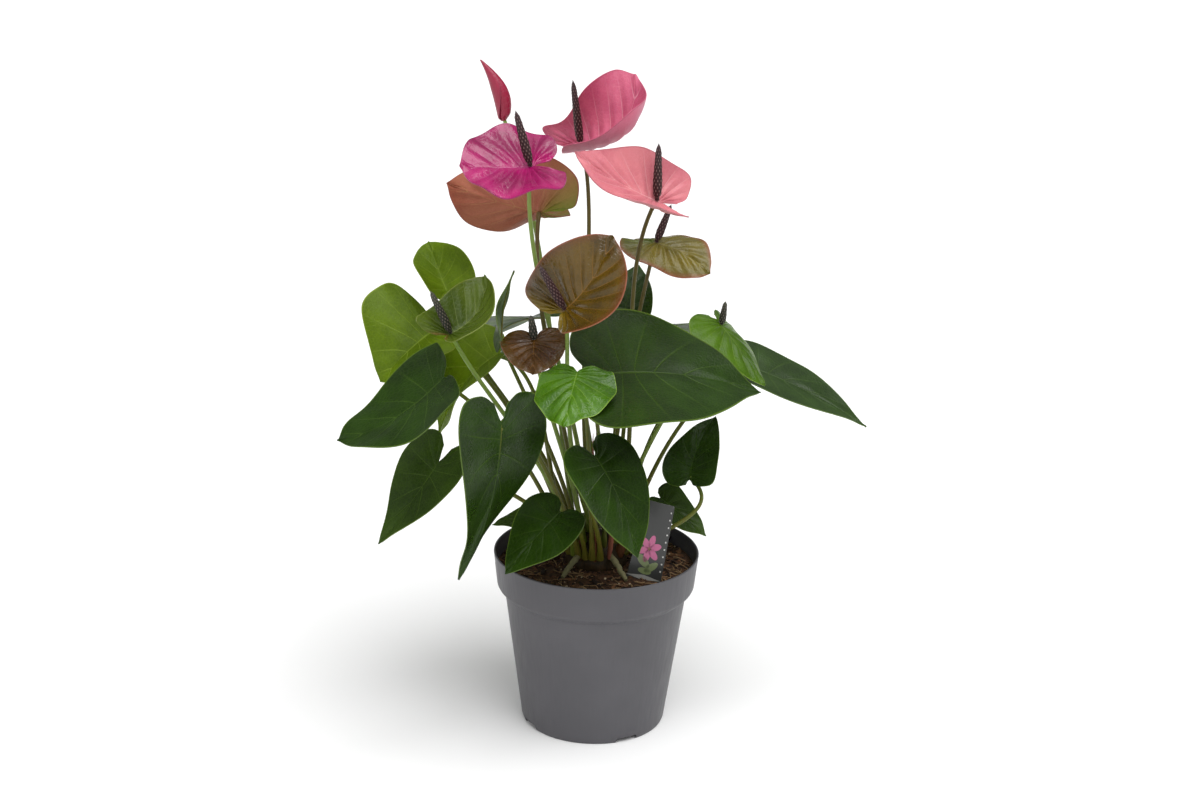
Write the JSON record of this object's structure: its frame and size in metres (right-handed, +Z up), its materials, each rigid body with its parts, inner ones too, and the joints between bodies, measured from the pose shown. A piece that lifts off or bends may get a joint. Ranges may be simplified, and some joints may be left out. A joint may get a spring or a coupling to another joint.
{
  "type": "potted anthurium",
  "caption": "Flowering anthurium in a tapered plastic nursery pot, with heart-shaped leaves, coloured spathes, upright spadices, bark medium and a care label.",
  "frame": {"origin": "middle of the pot underside, on the surface that it stands on", "axes": "+Z up along the pot axis; -Y is the front, where the lowest leaves hang; +X is to the right seen from the front"},
  "size_m": [0.4327, 0.3178, 0.5465],
  "materials": {
    "root_skin": "matte",
    "label_card": "satin",
    "crown_stem": "matte",
    "bark_medium": "matte",
    "leaf_dark_green": "satin",
    "leaf_mid_green": "satin",
    "leaf_light_green": "satin",
    "pot_plastic": "satin",
    "sheath_skin": "matte",
    "spadix_dark": "matte",
    "spadix_green": "matte",
    "spathe_bronze": "gloss",
    "spathe_brown": "gloss",
    "spathe_crimson": "gloss",
    "spathe_olive": "satin",
    "spathe_green": "satin",
    "spathe_magenta": "gloss",
    "spathe_tan": "satin",
    "spathe_orange": "satin",
    "spathe_pink": "satin",
    "spathe_salmon": "satin",
    "stalk_green": "satin",
    "stalk_brown": "satin"
  },
  "bodies": {
    "root": {"aerial_root_left": "root_skin", "aerial_root_right": "root_skin", "care_label": "label_card", "crown": "crown_stem", "growing_medium": "bark_medium", "leaf_back_centre": "leaf_dark_green", "leaf_back_left": "leaf_dark_green", "leaf_back_right": "leaf_dark_green", "leaf_behind_centre": "leaf_dark_green", "leaf_behind_label": "leaf_mid_green", "leaf_far_right": "leaf_dark_green", "leaf_front_drooping": "leaf_dark_green", "leaf_front_low": "leaf_dark_green", "leaf_left_dark": "leaf_dark_green", "leaf_left_inner": "leaf_light_green", "leaf_left_light": "leaf_light_green", "leaf_left_low": "leaf_mid_green", "leaf_left_upright": "leaf_mid_green", "leaf_low_sliver": "leaf_mid_green", "leaf_over_rim": "leaf_dark_green", "leaf_right_hidden": "leaf_mid_green", "leaf_right_large": "leaf_dark_green", "leaf_right_small": "leaf_dark_green", "leaf_top_left": "leaf_light_green", "leaf_young_centre": "leaf_light_green", "pot": "pot_plastic", "sheath_centre": "sheath_skin", "sheath_left": "sheath_skin", "sheath_right": "sheath_skin", "spadix_bronze": "spadix_dark", "spadix_brown": "spadix_green", "spadix_green_left": "spadix_green", "spadix_green_right": "spadix_green", "spadix_magenta": "spadix_dark", "spadix_olive_right": "spadix_dark", "spadix_orange": "spadix_dark", "spadix_pink": "spadix_dark", "spadix_salmon": "spadix_dark", "spathe_bronze": "spathe_bronze", "spathe_brown": "spathe_brown", "spathe_bud": "spathe_crimson", "spathe_green_left": "spathe_olive", "spathe_green_right": "spathe_green", "spathe_magenta": "spathe_magenta", "spathe_olive_right": "spathe_tan", "spathe_orange": "spathe_orange", "spathe_pink": "spathe_pink", "spathe_salmon": "spathe_salmon", "stalk_bronze": "stalk_green", "stalk_brown": "stalk_green", "stalk_bud": "stalk_green", "stalk_green_left": "stalk_green", "stalk_green_right": "stalk_green", "stalk_magenta": "stalk_green", "stalk_olive_right": "stalk_brown", "stalk_orange": "stalk_brown", "stalk_pink": "stalk_brown", "stalk_salmon": "stalk_brown"}
  },
  "joints": []
}
